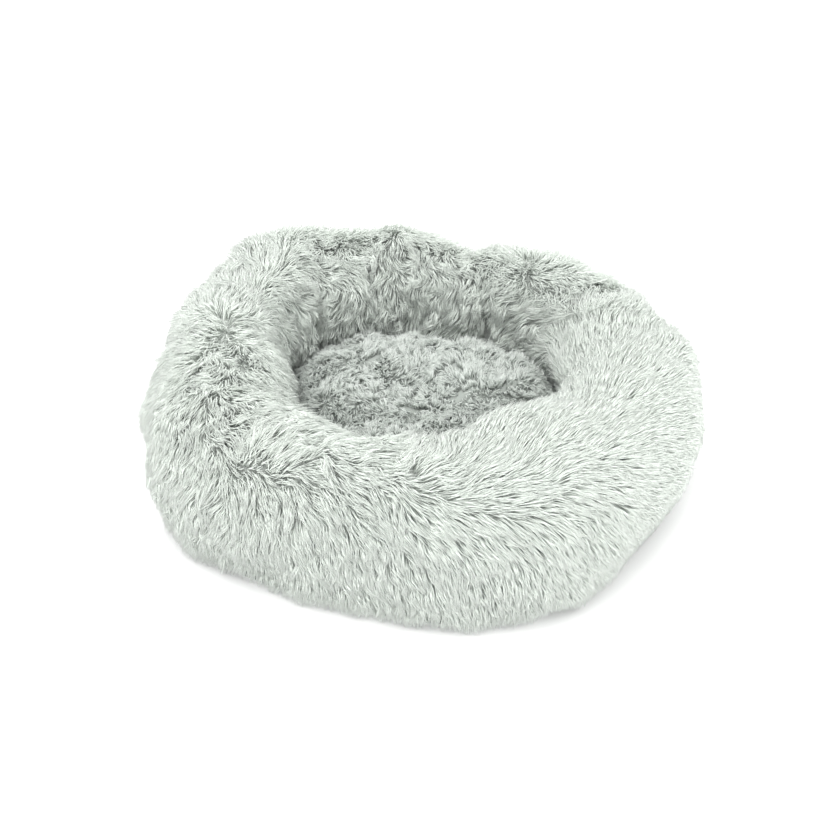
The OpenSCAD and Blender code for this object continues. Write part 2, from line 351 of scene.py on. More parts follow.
def copies(name, model, places, along, up):
    """Copies of a model at places, its X turned along and its Z turned up, as one mesh."""
    points, faces = model
    along = unit(along)
    side = unit(np.cross(up, along))
    top = np.cross(along, side)
    spread = (places[:, None] + points[None, :, 0, None] * along[:, None]
              + points[None, :, 1, None] * side[:, None] + points[None, :, 2, None] * top[:, None])
    loops = np.concatenate([np.array(face) for face in faces])
    sizes = np.array([len(face) for face in faces])
    base = np.arange(len(places))[:, None]
    all_loops = (loops[None, :] + base * len(points)).ravel()
    starts = (np.concatenate([[0], np.cumsum(sizes)[:-1]])[None, :] + base * len(loops)).ravel()
    return mesh_of(name, spread.reshape(-1, 3), all_loops, starts)


def weld(obj, reach, flat_angle=None):
    """Merge points closer than reach, and dissolve edges flatter than flat_angle if it is given."""
    only(obj)
    bpy.ops.object.mode_set(mode="EDIT")
    bpy.ops.mesh.select_all(action="SELECT")
    bpy.ops.mesh.remove_doubles(threshold=reach)
    if flat_angle is not None:
        bpy.ops.mesh.dissolve_limited(angle_limit=flat_angle)
    bpy.ops.object.mode_set(mode="OBJECT")


def rounded_copy(node, name, width):
    """A copy of a CAD node with its edges rounded, which stands for the node."""
    mesh = bpy.data.objects[node].data.copy()
    mesh.materials.clear()
    obj = new_object(name, mesh)
    weld(obj, 1e-6, math.radians(1))
    edge = obj.modifiers.new("Edge", "BEVEL")
    edge.width = width
    edge.segments = 2
    edge.limit_method = "ANGLE"
    edge.angle_limit = math.radians(40)
    bpy.ops.object.modifier_apply(modifier="Edge")
    bpy.ops.object.shade_smooth_by_angle(angle=math.radians(35))
    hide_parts(node)
    return obj


def smooth(obj):
    only(obj)
    bpy.ops.object.shade_smooth()


def settle(obj, pressure, cap, pinned, frames=20):
    """Inflates obj as cloth and keeps the result, with no point moved more than cap."""
    group = obj.vertex_groups.new(name="pinned")
    for weight in (0.5, 1.0):
        chosen = np.flatnonzero((pinned >= weight - 0.25) & (pinned < weight + 0.25))
        group.add([int(i) for i in chosen], weight, "REPLACE")
    start = get_points(obj.data)
    cloth = obj.modifiers.new("Cloth", "CLOTH")
    cloth.settings.quality = 5
    cloth.settings.mass = 0.3
    cloth.settings.tension_stiffness = 12
    cloth.settings.compression_stiffness = 12
    cloth.settings.bending_stiffness = 0.6
    cloth.settings.use_pressure = True
    cloth.settings.uniform_pressure_force = pressure
    cloth.settings.vertex_group_mass = "pinned"
    cloth.settings.effector_weights.gravity = 0
    cloth.point_cache.frame_end = frames
    scene = bpy.context.scene
    for number in range(1, frames + 1):
        scene.frame_set(number)
    graph = bpy.context.evaluated_depsgraph_get()
    result = get_points(obj.evaluated_get(graph).data)
    obj.modifiers.remove(cloth)
    obj.vertex_groups.clear()
    scene.frame_set(1)
    move = result - start
    length = np.linalg.norm(move, axis=1, keepdims=True)
    set_points(obj.data, start + move * np.minimum(1, cap / np.maximum(length, 1e-9)))


def finish_piece(obj, body, slot, *materials):
    for material in materials:
        obj.data.materials.append(material)
    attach(obj, body)
    return obj


# ---------------------------------------------------------------- materials

def new_material(name, roughness, **fixed):
    """A Principled material with its fixed sockets set; returns it with its nodes, links and shader."""
    material = bpy.data.materials.new(name)
    material.use_nodes = True
    shader = material.node_tree.nodes["Principled BSDF"]
    shader.inputs["Roughness"].default_value = roughness
    for socket, value in fixed.items():
        shader.inputs[socket.replace("_", " ")].default_value = value
    return material, material.node_tree.nodes, material.node_tree.links, shader


def group_node(nodes, group, **values):
    node = nodes.new("ShaderNodeGroup")
    node.node_tree = group
    for socket, value in values.items():
        node.inputs[socket.replace("_", " ")].default_value = value
    return node


def new_group(name, inputs, outputs):
    group = bpy.data.node_groups.new(name, "ShaderNodeTree")
    for socket, kind in inputs:
        group.interface.new_socket(socket, in_out="INPUT", socket_type=kind)
    for socket, kind in outputs:
        group.interface.new_socket(socket, in_out="OUTPUT", socket_type=kind)
    return (group, group.nodes, group.links, group.nodes.new("NodeGroupInput"),
            group.nodes.new("NodeGroupOutput"))


def math_node(nodes, links, operation, first, second=None):
    node = nodes.new("ShaderNodeMath")
    node.operation = operation
    for socket, value in zip(node.inputs, (first, second)):
        if isinstance(value, (int, float)):
            socket.default_value = value
        elif value is not None:
            links.new(value, socket)
    return node.outputs[0]


def mix_colour(nodes, links, factor, first, second, blend="MIX"):
    node = nodes.new("ShaderNodeMix")
    node.data_type = "RGBA"
    node.blend_type = blend
    for socket, value in ((node.inputs[0], factor), (node.inputs[6], first), (node.inputs[7], second)):
        if isinstance(value, (int, float, tuple)):
            socket.default_value = value
        else:
            links.new(value, socket)
    return node.outputs[2]


def brightened(nodes, links, colour, tone, amount, socket):
    """Send a colour to a socket, darkened where tone is under a half and brightened where it is over."""
    centred = math_node(nodes, links, "SUBTRACT", tone, 0.5)
    scaled = math_node(nodes, links, "MULTIPLY", centred, amount)
    gain = math_node(nodes, links, "ADD", scaled, 1.0)
    vector = nodes.new("ShaderNodeVectorMath")
    vector.operation = "SCALE"
    links.new(colour, vector.inputs[0])
    links.new(gain, vector.inputs["Scale"])
    links.new(vector.outputs[0], socket)


def pile_tone_with_root_shade_group():
    """Colour of a lock: darker towards its root as painted shade between the locks, pale at its tip, with a
    random tone of its own.
    """
    group, nodes, links, given, result = new_group(
        "pile tone with painted root shade",
        [("Root", "NodeSocketColor"), ("Tip", "NodeSocketColor"), ("Shade", "NodeSocketFloat")],
        [("Color", "NodeSocketColor")])
    along = nodes.new("ShaderNodeAttribute")
    along.attribute_name = "along"
    own = nodes.new("ShaderNodeAttribute")
    own.attribute_name = "own_shade"
    # Root to tip: the darker root colour is painted shade between the locks
    reach = math_node(nodes, links, "POWER", along.outputs["Fac"], 0.6)
    colour = mix_colour(nodes, links, reach, given.outputs["Root"], given.outputs["Tip"])
    brightened(nodes, links, colour, own.outputs["Fac"], given.outputs["Shade"], result.inputs[0])
    return group


def pile_material(name, group, root, tip, shade):
    material, nodes, links, shader = new_material(
        name, 0.85, Specular_IOR_Level=0.25, Sheen_Weight=0.25, Sheen_Roughness=0.5)
    tone = group_node(nodes, group, Root=(*root, 1), Tip=(*tip, 1), Shade=shade)
    links.new(tone.outputs[0], shader.inputs["Base Color"])
    return material


def mask_group(name):
    """A new group from a scale to a mask, and a function that adds a texture of that scale to it."""
    group, nodes, links, given, result = new_group(
        name, [("Scale", "NodeSocketFloat")], [("Mask", "NodeSocketFloat")])
    coordinates = nodes.new("ShaderNodeTexCoord")

    def texture(kind, **fixed):
        node = nodes.new(kind)
        links.new(coordinates.outputs["Object"], node.inputs["Vector"])
        links.new(given.outputs["Scale"], node.inputs["Scale"])
        for socket, value in fixed.items():
            node.inputs[socket].default_value = value
        return node

    return group, nodes, links, result, texture


def weave_group():
    """A plain weave: 0 in the gaps between threads and 1 on top of them."""
    group, nodes, links, result, texture = mask_group("weave")
    waves = []
    for direction in ("X", "Y"):
        wave = texture("ShaderNodeTexWave", Distortion=0.8, Detail=1.0)
        wave.bands_direction = direction
        waves.append(wave.outputs["Fac"])
    both = math_node(nodes, links, "MAXIMUM", waves[0], waves[1])
    links.new(both, result.inputs[0])
    return group


def fibre_group():
    """Loose fibres: streaky noise from 0 to 1."""
    group, _, links, result, texture = mask_group("fibres")
    streaks = texture("ShaderNodeTexNoise", Detail=6.0, Roughness=0.7, Distortion=2.5)
    links.new(streaks.outputs["Fac"], result.inputs[0])
    return group


def embossed_group():
    """Non-woven cloth: rows of small welded spots that sink into it."""
    group, nodes, links, result, texture = mask_group("embossed")
    cells = texture("ShaderNodeTexVoronoi", Randomness=0.15)
    ramp = nodes.new("ShaderNodeMapRange")
    ramp.inputs["From Min"].default_value = 0.15
    ramp.inputs["From Max"].default_value = 0.45
    links.new(cells.outputs["Distance"], ramp.inputs["Value"])
    links.new(ramp.outputs["Result"], result.inputs[0])
    return group


def patterned(name, pattern, scale, dark, light, height, roughness=0.9, cloudy=0.06, **fixed):
    """A material with a small pattern in colour and relief, and a slow cloudy change of tone."""
    material, nodes, links, shader = new_material(name, roughness, **fixed)
    shape = group_node(nodes, pattern, Scale=scale)
    colour = mix_colour(nodes, links, shape.outputs[0], (*dark, 1), (*light, 1))
    coordinates = nodes.new("ShaderNodeTexCoord")
    cloud = nodes.new("ShaderNodeTexNoise")
    cloud.inputs["Scale"].default_value = 14.0
    cloud.inputs["Detail"].default_value = 3.0
    links.new(coordinates.outputs["Object"], cloud.inputs["Vector"])
    brightened(nodes, links, colour, cloud.outputs["Fac"], cloudy * 4, shader.inputs["Base Color"])
    relief = nodes.new("ShaderNodeBump")
    relief.inputs["Strength"].default_value = 0.6
    relief.inputs["Distance"].default_value = height
    links.new(shape.outputs[0], relief.inputs["Height"])
    links.new(relief.outputs[0], shader.inputs["Normal"])
    return material


MATERIALS = {}


def make_materials():
    look = settings().plush
    tone = pile_tone_with_root_shade_group()
    weave = weave_group()
    fibres = fibre_group()
    embossed = embossed_group()
    cloth = {"Specular_IOR_Level": 0.2, "Sheen_Weight": 0.15}
    metal = {"Metallic": 1.0}
    made = (
        # The darker root colours of both piles are painted shade between their locks; the tips carry the
        # pile's own colour
        pile_material("rim pile", tone, tuple(look.root), tuple(look.tip), 0.10),
        pile_material("cushion pile", tone, tuple(look.cushion_root), tuple(look.cushion_tip), 0.20),
        patterned("plush backing", weave, 520, (0.44, 0.47, 0.44), (0.56, 0.59, 0.56), 0.0003, **cloth),
        # The cushion's backing cloth is real, but its dark colour is partly painted shade that darkens the
        # gaps in the cushion's pile
        patterned("cushion backing with painted shade", weave, 520, (0.30, 0.33, 0.30), (0.42, 0.45, 0.42), 0.0003, **cloth),
        patterned("cushion fabric", weave, 420, (0.36, 0.39, 0.36), (0.52, 0.55, 0.52), 0.0003, **cloth),
        patterned("nonwoven", embossed, 420, (0.74, 0.74, 0.71), (0.88, 0.88, 0.85), 0.0004, **cloth),
        patterned("fibre fill", fibres, 160, (0.80, 0.80, 0.78), (0.95, 0.95, 0.93), 0.002, **cloth),
        patterned("floor lining", weave, 380, (0.66, 0.67, 0.64), (0.86, 0.86, 0.83), 0.0003, **cloth),
        patterned("base fabric", weave, 300, (0.20, 0.22, 0.205), (0.34, 0.36, 0.34), 0.0004, 0.75, 0.05,
                  Specular_IOR_Level=0.35),
        patterned("dot rubber", fibres, 60, (0.80, 0.81, 0.78), (0.87, 0.88, 0.85), 0.0001, 0.42, 0.02),
        patterned("binding tape", weave, 700, (0.24, 0.26, 0.245), (0.38, 0.40, 0.38), 0.0003, **cloth),
        patterned("stitch thread", fibres, 900, (0.42, 0.44, 0.42), (0.60, 0.62, 0.60), 0.0001, 0.6),
        patterned("label satin", weave, 900, (0.86, 0.86, 0.85), (0.95, 0.95, 0.94), 0.0001, 0.35,
                  Specular_IOR_Level=0.5),
        patterned("zip tape", weave, 620, (0.16, 0.175, 0.165), (0.27, 0.29, 0.275), 0.0003, **cloth),
        patterned("zip teeth", fibres, 300, (0.24, 0.26, 0.25), (0.30, 0.32, 0.31), 0.00005, 0.32),
        patterned("zip metal", fibres, 240, (0.55, 0.56, 0.57), (0.68, 0.69, 0.70), 0.00004, 0.3, **metal),
    )
    for material in made:
        MATERIALS[material.name] = material


# ---------------------------------------------------------------- pile

def model_lock(steps):
    """One lock of pile, a three-sided spindle of so many steps: its section, the step of each
    point and its faces."""
    bpy.ops.object.select_all(action="DESELECT")
    bpy.ops.mesh.primitive_cone_add(vertices=3, radius1=1, radius2=0, depth=1, location=(0, 0, 0.5))
    lock = bpy.context.object
    bpy.ops.object.transform_apply(location=True, rotation=True, scale=True)
    bpy.ops.object.mode_set(mode="EDIT")
    for number in range(1, steps):
        bpy.ops.mesh.select_all(action="SELECT")
        bpy.ops.mesh.bisect(plane_co=(0, 0, number / steps), plane_no=(0, 0, 1))
    bpy.ops.object.mode_set(mode="OBJECT")
    co = get_points(lock.data)
    step = np.rint(co[:, 2] * steps).astype(int)
    fullness = np.interp(np.arange(steps) / steps, (0, 0.34, 0.67, 1), (0.75, 1.0, 0.72, 0.0))
    taper = 1 - np.arange(steps) / steps
    section = co[:, :2] * np.append(fullness / taper, 0)[step][:, None]
    faces = [list(p.vertices) for p in lock.data.polygons]
    bpy.data.objects.remove(lock)
    return section, step, faces


LOCK = {}


def lock_paths(root, normal, comb, length, lift_root, lift_tip, turn, steps):
    """Centre lines of locks: they rise at lift_root, lie over to lift_tip and turn sideways."""
    side = unit(np.cross(normal, comb))
    paths = [root - normal * 0.0012]
    for k in range(steps):
        t = k / (steps - 1)
        lift = lift_root * (1 - t) + lift_tip * t
        yaw = turn * (k + 0.5) / (steps - 0.5)
        flat = comb * np.cos(yaw)[:, None] + side * np.sin(yaw)[:, None]
        heading = flat * np.cos(lift)[:, None] + normal * np.sin(lift)[:, None]
        paths.append(paths[-1] + heading * (length / steps)[:, None])
    return np.stack(paths, 1)


def nearest(centres, points):
    tree = kdtree.KDTree(len(centres))
    for i, p in enumerate(centres):
        tree.insert(p, i)
    tree.balance()
    return np.array([tree.find(p)[1] for p in points])


def pile_mesh(name, paths, radius, own, low=0.001):
    """Locks along their centre lines, as one mesh with root-to-tip and own-shade attributes."""
    steps = paths.shape[1] - 1
    if steps not in LOCK:
        LOCK[steps] = model_lock(steps)
    section, step, faces = LOCK[steps]
    paths = paths.copy()
    paths[..., 2] = np.maximum(paths[..., 2], low)
    ahead = np.empty_like(paths)
    ahead[:, :-1] = paths[:, 1:] - paths[:, :-1]
    ahead[:, -1] = ahead[:, -2]
    ahead = unit(ahead)
    rng = np.random.default_rng(len(paths))
    spin = unit(rng.normal(size=(len(paths), 1, 3)))
    across = unit(np.cross(ahead, np.broadcast_to(spin, ahead.shape)))
    over = np.cross(ahead, across)
    points = (paths[:, step]
              + across[:, step] * (section[:, 0] * radius[:, None])[..., None]
              + over[:, step] * (section[:, 1] * radius[:, None])[..., None])
    count = len(step)
    loops = np.concatenate([np.array(face) for face in faces])
    sizes = np.array([len(face) for face in faces])
    base = np.arange(len(paths))[:, None]
    all_loops = (loops[None, :] + base * count).ravel()
    starts = (np.concatenate([[0], np.cumsum(sizes)[:-1]])[None, :] + base * len(loops)).ravel()
    mesh = mesh_of(name, points.reshape(-1, 3), all_loops, starts)
    for attribute, values in (("along", np.tile(step / steps, len(paths))),
                              ("own_shade", np.repeat(own, count))):
        layer = mesh.attributes.new(attribute, "FLOAT", "POINT")
        layer.data.foreach_set("value", values.astype(np.float32))
    mesh.polygons.foreach_set("use_smooth", np.ones(len(starts), bool))
    mesh.update()
    return mesh


# Strokes that comb the rim's pile: degrees round the bed, degrees over the tube, and the way of the
# pile in degrees from straight down the outside towards round the bed. The first 87 rows are another
# program's output, and the other 25 were set one by one
STROKES = (
    (4, 114, 90), (11, 95, 60), (21, 139, 50), (32, 93, -125), (43, 149, 130), (44, 128, 130),
    (45, 107, -100), (54, 151, 135), (70, 151, 170), (74, 156, 160), (76, 121, -155), (84, 153, 155),
    (90, 101, -160), (97, 160, 170), (105, 101, -175), (111, 128, -150), (112, 151, 140), (120, 104, 160),
    (121, 159, 155), (124, 122, -125), (128, 137, 170), (137, 142, 175), (138, 119, -170), (139, 158, 155),
    (140, 84, -20), (140, 102, -30), (157, 65, -20), (159, 89, -80), (161, 106, -125), (161, 157, -160),
    (174, 80, 10), (174, 113, 170), (179, 65, 25), (185, 95, 85), (197, 49, 35), (204, 82, 55),
    (206, 13, -10), (208, 98, 115), (211, 44, 20), (217, 62, 90), (217, 103, 120), (218, 25, -15),
    (219, -1, -10), (224, 58, 180), (224, 80, 130), (228, 29, 20), (232, -15, -5), (232, 62, 130),
    (232, 105, 130), (234, 88, 115), (237, 29, 15), (242, 53, 75), (247, 82, 95), (248, 36, 25),
    (249, -3, 15), (249, 107, 75), (254, 53, 70), (255, 76, 100), (262, 4, 15), (262, 43, 40),
    (268, 91, 165), (269, -2, 20), (269, 29, 50), (269, 85, 160), (271, 60, 100), (279, -7, 15),
    (279, 29, 50), (279, 45, 90), (280, 103, 150), (283, 70, 120), (288, -7, 10), (288, 20, 30),
    (290, 46, 75), (292, 86, 130), (297, 61, 100), (299, 15, 25), (300, 37, 55), (308, 8, 30),
    (309, 77, 95), (313, 29, 50), (320, 86, 100), (321, 59, 80), (326, 110, 125),
    (329, 36, 60), (332, 78, 85), (347, 44, 60), (354, 73, 70),
    (20, 0, 30), (50, 0, 15), (50, 55, 20), (80, 0, 5), (80, 55, -5), (110, 0, -5), (110, 55, 5),
    (140, 10, -5), (165, 10, 0), (190, 10, 0), (20, 50, 50), (0, 20, 40), (350, 0, 40), (185, -40, -5),
    (270, -50, 10), (330, -40, 20), (0, -40, 20), (60, -40, 0), (120, -40, 0), (30, 190, 170),
    (90, 190, 175), (150, 190, 180), (210, 190, 170), (270, 190, 165), (330, 190, 150),
)
# How tousled the pile is round the bed: 1 is messy, 0 is combed flat
TOUSLE = ((0, 0.3), (50, 0.8), (90, 0.95), (180, 0.85), (225, 0.8), (255, 0.6), (290, 0.3), (325, 0.15))
# How far the hem's fringe is tucked under round the bed, 0 to 1
TUCK = ((20, 0.0), (200, 0.0), (270, 0.7), (310, 1.0), (345, 0.6))
# Small dimples that the pile lies away from: degrees round, degrees over the tube, reach in metres
DIMPLES = ((265, 67, 0.0045),)


def tousled(a, f):
    """How messy the pile is: as round the bed, and half of it on the outer wall."""
    up = np.clip((np.degrees(f) - 20) / 50, 0, 1)
    return curve_round(TOUSLE, a) * (0.5 + 0.5 * up)


def stroke_frame(a, f):
    inset = settings().shape.skin_inset
    along, down, _ = rim_axes(a, f, inset)
    return rim_point(a, f, inset), along, down


def combed(mess, points, normal, rng):
    """The way of the pile at points of the rim, and how firmly it is combed there, 0 to 1."""
    marks = np.array(STROKES, float)
    place, along, down = stroke_frame(np.radians(marks[:, 0]), np.radians(marks[:, 1]))
    turn = np.radians(marks[:, 2])[:, None]
    way = down * np.cos(turn) + along * np.sin(turn)
    total = np.zeros_like(points)
    weights = np.zeros((len(points), 1))
    for p, w in zip(place, way):
        pull = (np.sum((points - p) ** 2, 1, keepdims=True) + 0.014 ** 2) ** -2
        total += pull * w
        weights += pull
    mean = total / weights
    mean -= normal * np.sum(mean * normal, 1, keepdims=True)
    firm = np.clip(np.linalg.norm(mean, axis=1), 0, 1)
    comb = unit(mean)
    side = unit(np.cross(normal, comb))
    parting = np.clip(1 - firm, 0, 1) * rng.normal(0, 0.9, len(points))
    yaw = parting + mess * (0.26 * noise(points, 0.055, 5) + 0.22 * noise(points, 0.022, 6))
    comb = comb * np.cos(yaw)[:, None] + side * np.sin(yaw)[:, None]
    for a0, f0, reach in DIMPLES:
        eye = stroke_frame(np.radians([a0]), np.radians([f0]))[0][0]
        away = points - eye
        weight = np.exp(-(np.linalg.norm(away, axis=1) / reach) ** 2)[:, None]
        comb = comb * (1 - weight) + unit(away) * weight * 1.6
    return unit(comb - normal * np.sum(comb * normal, 1, keepdims=True)), firm


def scatter_rim(count):
    """Places on the tube, even over its area: angles round the bed and over the tube."""
    rng = np.random.default_rng(11)
    a = rng.uniform(0, TAU, count * 3)
    f = np.radians(rng.uniform(-62, 224, count * 3))
    step = 1e-3
    da = (rim_point(a + step, f, 0.0) - rim_point(a, f, 0.0)) / step
    df = (rim_point(a, f + step, 0.0) - rim_point(a, f, 0.0)) / step
    area = np.linalg.norm(np.cross(da, df), axis=1)
    keep = rng.uniform(0, np.quantile(area, 0.995), len(a)) < area
    a, f = a[keep], f[keep]
    if len(a) < count:
        raise RuntimeError("too few places for the rim's pile")
    return a[:count], f[:count]


def onto(tree, points):
    """The nearest points and normals of a surface."""
    place = np.empty_like(points)
    normal = np.empty_like(points)
    for i, p in enumerate(points):
        hit, way, _, _ = tree.find_nearest(Vector(p))
        place[i] = hit
        normal[i] = way
    return place, normal


def clumped(paths, member, centre_paths, strength, spread, rng):
    """Draws locks towards their clump's centre line, more towards the tip."""
    t = np.linspace(0, 1, paths.shape[1])[None, :, None]
    goal = centre_paths[member]
    loose = rng.normal(0, spread, (len(paths), 1, 3)) * t
    return paths + (goal + loose - paths) * (strength[:, None, None] * t ** 1.4)


def grow(root, normal, comb, length, lift_root, lift_tip, turn, steps, per_clump, strength, radius,
         loose, rng):
    """Locks from their roots, gathered into clumps: their centre lines, radii and own shades."""
    count = len(root)
    paths = lock_paths(root, normal, comb, length, lift_root, lift_tip, turn, steps)
    chosen = rng.choice(count, count // per_clump, replace=False)
    jitter = rng.normal(0, loose, len(chosen))
    centre_paths = lock_paths(root[chosen], normal[chosen], comb[chosen], length[chosen] * 1.05,
                              lift_root[chosen], lift_tip[chosen] + np.radians(4),
                              turn[chosen] + jitter, steps)
    member = nearest(root[chosen], root)
    paths = clumped(paths, member, centre_paths, np.clip(strength, 0.05, 0.85), 0.0009, rng)
    own = np.clip(0.5 + 0.2 * rng.normal(size=count) + 0.14 * rng.normal(size=len(chosen))[member], 0, 1)
    return paths, radius * rng.uniform(0.75, 1.2, count), own


def grow_rim(tree):
    look = settings().plush
    count = look.rim_locks
    rng = np.random.default_rng(21)
    a, f = scatter_rim(count)
    root, normal = onto(tree, rim_point(a, f, settings().shape.skin_inset))
    _, _, out = rim_axes(a, f, settings().shape.skin_inset)
    normal = unit(np.where(np.sum(normal * out, 1, keepdims=True) < 0, -normal, normal) + 0.6 * out)
    mess = tousled(a, f)
    comb, firm = combed(mess, root, normal, rng)
    hem = np.clip((-20 - np.degrees(f)) / 32, 0, 1)
    level = unit(out * np.array([1, 1, 0]))
    tuck = curve_round(TUCK, a)
    normal = unit(normal * (1 - hem[:, None]) + level * hem[:, None])
    comb = unit(comb * (1 - hem[:, None]) + np.array([0, 0, -1.0]) * hem[:, None])
    length = look.rim_length * rng.uniform(0.8, 1.12, count) * (1 + 0.08 * noise(root, 0.06, 31))
    length = length * (1 - (0.08 + 0.22 * tuck) * hem)
    lift_root = np.radians(36 + 10 * mess * noise(root, 0.04, 32) + rng.normal(0, 6, count)
                           + 22 * (1 - firm) + (28 - 10 * tuck) * hem)
    lift_tip = np.radians(3 + 9 * mess * noise(root, 0.025, 33) + rng.normal(0, 6, count) * (0.5 + mess)
                          + 34 * (1 - firm) + (24 - 16 * tuck) * hem)
    turn = np.radians(26 * mess * noise(root, 0.03, 34) + rng.normal(0, 9, count) * (0.6 + mess))
    wall_side = np.clip((60 - np.degrees(f)) / 40, 0, 1) * np.clip((330 - np.degrees(a)) / 30, 0, 1)
    well_side = np.clip((np.degrees(f) - 110) / 30, 0, 1)
    strength = ((0.14 + 0.46 * mess + 0.36 * wall_side + 0.14 * well_side) * firm ** 1.5
                + rng.normal(0, 0.10, count))
    paths, radius, own = grow(root, normal, comb, length, lift_root, lift_tip, turn, 2, 12, strength,
                              look.lock_radius, np.radians(14), rng)
    for panel, (first, last) in PANELS.items():
        in_panel = (np.degrees(a) - first) % 360 < last - first
        for part, f0, f1 in (("foot", -90, 0), ("outer", 0, 45), ("crest", 45, 110), ("inner", 110, 270)):
            mine = in_panel & (np.degrees(f) >= f0) & (np.degrees(f) < f1)
            name = f"rim_pile_{panel}_{part}"
            piece = new_object(name, pile_mesh(name, paths[mine], radius[mine], own[mine]))
            finish_piece(piece, "bed", "rim_plush", MATERIALS["rim pile"])


# ---------------------------------------------------------------- the cushion's surface

CUSHION_MIDDLE = 66.9 * MM
CUSHION_HALF = 51 * MM
# The parting on top of the cushion that its pile grows out from: place and reach in metres
PARTING = ((0.052, 0.055), 0.045)


def cushion_point(a, f, inset):
    over = np.maximum(np.sin(f), 0)
    r = (neck_at(a) - settings().shape.cushion_gap - inset) * puff(np.cos(f), 0.62 - 0.14 * over)
    z = CUSHION_MIDDLE + (CUSHION_HALF - inset) * puff(np.sin(f), 0.86 - 0.14 * over)
    cx, cy = centre()
    return np.stack([cx + r * np.cos(a), cy + r * np.sin(a), z], -1)


def scatter_cushion(count):
    """Places over the cushion's top and upper side, even over its area."""
    rng = np.random.default_rng(12)
    f_line = np.radians(90 - 96 * np.linspace(0, 1, 3000) ** 3)
    line = cushion_point(np.zeros_like(f_line), f_line, 0.0)
    reach = np.hypot(*(line[:, :2] - np.array(centre())).T)
    band = np.linalg.norm(np.diff(line, axis=0), axis=1) * (reach[1:] + reach[:-1])
    covered = np.concatenate([[0], np.cumsum(band)])
    a = rng.uniform(0, TAU, count * 3)
    wide = neck_at(a) ** 2
    a = a[rng.uniform(0, wide.max(), len(a)) < wide][:count]
    if len(a) < count:
        raise RuntimeError("too few places for the cushion's pile")
    return a, np.interp(rng.uniform(0, covered[-1], count), covered, f_line)


def grow_cushion(tree):
    look = settings().plush
    count = look.cushion_locks
    rng = np.random.default_rng(22)
    a, f = scatter_cushion(count)
    root, normal = onto(tree, cushion_point(a, f, settings().shape.cushion_inset))
    upward = unit(root - np.array([0, 0, CUSHION_MIDDLE * 0.5]))
    normal = np.where(np.sum(normal * upward, 1, keepdims=True) < 0, -normal, normal)
    angle = 1.3 * noise(root, 0.12, 41) + 0.6 * noise(root, 0.04, 42) - 1.0 + rng.normal(0, 0.3, count)
    comb = np.stack([np.cos(angle), np.sin(angle), np.zeros(count)], -1)
    eye, reach = PARTING
    away = root - np.array([*eye, 0])
    away[:, 2] = 0
    weight = np.exp(-(np.linalg.norm(away, axis=1) / reach) ** 2)[:, None]
    stray = rng.normal(size=away.shape) * np.array([0.8, 0.8, 0])
    comb = unit(comb * (1 - 0.6 * weight) + (unit(away) + stray) * weight * 0.6)
    steep = np.clip(1 - normal[:, 2], 0, 1)[:, None]
    comb = comb * (1 - steep) + np.array([0, 0, -1.0]) * steep
    comb = unit(comb - normal * np.sum(comb * normal, 1, keepdims=True))
    length = look.cushion_length * rng.uniform(0.7, 1.2, count) * (1 + 0.14 * noise(root, 0.04, 43))
    lift_root = np.radians(58 + 14 * noise(root, 0.03, 44) + rng.normal(0, 10, count) + 20 * weight[:, 0])
    lift_tip = np.radians(20 + 20 * noise(root, 0.016, 45) + rng.normal(0, 14, count) + 30 * weight[:, 0])
    turn = np.radians(34 * noise(root, 0.016, 46) + rng.normal(0, 24, count))
    strength = 0.52 - 0.25 * weight[:, 0] + rng.normal(0, 0.1, count)
    paths, radius, own = grow(root, normal, comb, length, lift_root, lift_tip, turn, 2, 9, strength,
                              look.lock_radius, np.radians(30), rng)
    on_left = root[:, 0] < centre()[0]
    for part, mine in (("left", on_left), ("right", ~on_left)):
        name = f"cushion_pile_{part}"
        piece = new_object(name, pile_mesh(name, paths[mine], radius[mine], own[mine], 0.016))
        finish_piece(piece, "cushion", "cushion_plush", MATERIALS["cushion pile"])


# ---------------------------------------------------------------- operators

SKINS = {}


